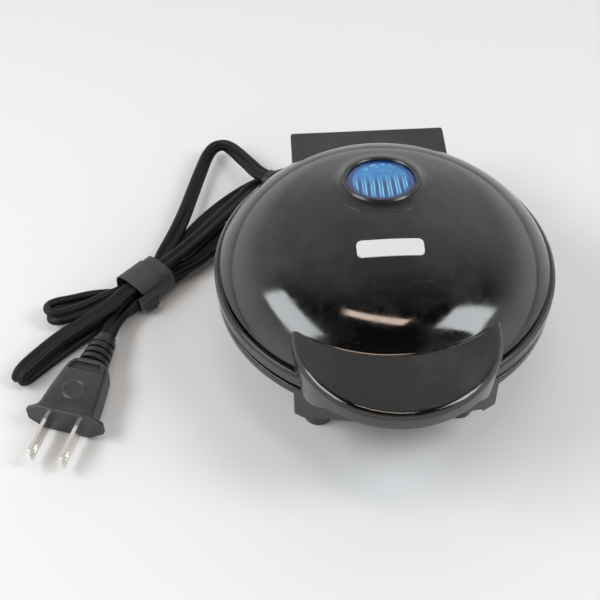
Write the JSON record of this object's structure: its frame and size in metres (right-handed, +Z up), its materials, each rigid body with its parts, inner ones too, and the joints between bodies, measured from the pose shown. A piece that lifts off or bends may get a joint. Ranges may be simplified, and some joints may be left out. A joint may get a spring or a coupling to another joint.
{
  "type": "donut maker",
  "caption": "Small electric donut maker with a hinged domed lid, ring-shaped baking moulds, a tied flat mains cord and a two-blade plug.",
  "frame": {"origin": "on the table, under the middle of the dome", "axes": "+Z up, -Y towards the handle, +X to the right when seen from the handle's side"},
  "size_m": [0.2104, 0.1964, 0.0714],
  "materials": {
    "base_plastic": "glossy",
    "lid_plastic": "glossy",
    "ring_plastic": "satin",
    "pad_rubber": "matte",
    "screw_steel": "satin",
    "nonstick_coating": "satin non-stick coating on cast aluminium",
    "reflector_sheet": "mill finish",
    "heater_tube": "heat tinted",
    "thermostat_metal": "satin",
    "fuse_sleeve": "matte",
    "terminal_plastic": "matte",
    "lead_sleeve": "woven glass sleeve",
    "relief_rubber": "matte",
    "pin_steel": "bright",
    "bezel_plastic": "glossy",
    "blue_lens": "clear blue, ribbed underneath",
    "board_laminate": "matte",
    "lamp_clear": "clear",
    "badge_plastic": "satin, blank",
    "cord_jacket": "satin",
    "tie_strap": "matte",
    "plug_plastic": "satin",
    "blade_metal": "nickel plated"
  },
  "bodies": {
    "base": {"base_shell": "base_plastic", "foot_pads": "pad_rubber", "lower_ring": "ring_plastic", "lower_ring_screws": "screw_steel", "lower_plate": "nonstick_coating", "lower_plate_screws": "screw_steel", "lower_reflector": "reflector_sheet", "lower_heater": "heater_tube", "thermostat": "thermostat_metal", "thermal_fuse": "fuse_sleeve", "terminal_block": "terminal_plastic", "heater_leads": "lead_sleeve", "supply_lead": "cord_jacket", "strain_relief": "relief_rubber", "hinge_pins": "pin_steel", "cord": "cord_jacket", "cord_tie": "tie_strap", "plug_body": "plug_plastic", "plug_blades": "blade_metal"},
    "lid": {"lid_cover": "lid_plastic", "upper_ring": "ring_plastic", "upper_ring_screws": "screw_steel", "upper_plate": "nonstick_coating", "upper_plate_screws": "screw_steel", "upper_reflector": "reflector_sheet", "upper_heater": "heater_tube", "lens_bezel": "bezel_plastic", "indicator_lens": "blue_lens", "lamp_board": "board_laminate", "lamps": "lamp_clear", "board_screws": "screw_steel", "badge": "badge_plastic"}
  },
  "joints": [
    {"name": "lid_hinge", "type": "hinge", "parent": "base", "child": "lid", "pos_m": [0, 0.0695, 0.034], "axis": [-1, 0, 0], "range_deg": [0, 100]}
  ]
}
